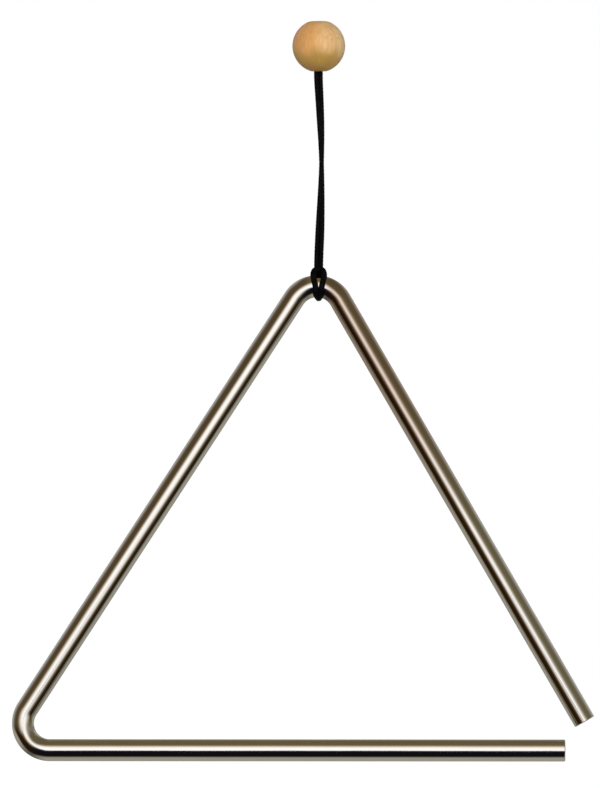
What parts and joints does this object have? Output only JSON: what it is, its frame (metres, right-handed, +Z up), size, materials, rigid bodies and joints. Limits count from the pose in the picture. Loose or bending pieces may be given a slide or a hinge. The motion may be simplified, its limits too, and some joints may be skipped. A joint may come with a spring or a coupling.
{
  "type": "triangle instrument",
  "caption": "Steel rod bent into a triangle open at one corner, hung by a doubled black cord from a drilled wooden ball that is held in the hand.",
  "frame": {"origin": "centre of the wooden ball, by which the triangle is held", "axes": "+Z up along the cord, +X along the base bar towards its free end, +Y away from the side on which the arch of the hitch lies; the triangle hangs in the XZ plane"},
  "size_m": [0.2097, 0.019, 0.2666],
  "materials": {
    "polished_steel": "polished",
    "beech": "satin",
    "black_cord": "satin"
  },
  "bodies": {
    "handle": {"wooden_ball": "beech", "stopper_knot": "black_cord"},
    "cord": {"front_strand": "black_cord", "back_strand": "black_cord"},
    "hitch": {"girth_hitch": "black_cord"},
    "triangle": {"triangle_rod": "polished_steel"}
  },
  "joints": [
    {"name": "cord_sway", "type": "hinge", "parent": "handle", "child": "cord", "pos_m": [0, 0, -0.00904], "axis": [0, 1, 0], "range_deg": [-40, 40]},
    {"name": "cord_twist", "type": "hinge", "parent": "cord", "child": "hitch", "pos_m": [-0.00073, 0, -0.0776], "axis": [0, 0, 1], "range_deg": [-180, 180]},
    {"name": "triangle_swing", "type": "hinge", "parent": "hitch", "child": "triangle", "pos_m": [-0.00073, 0, -0.0865], "axis": [1, 0, 0], "range_deg": [-90, 90]}
  ]
}
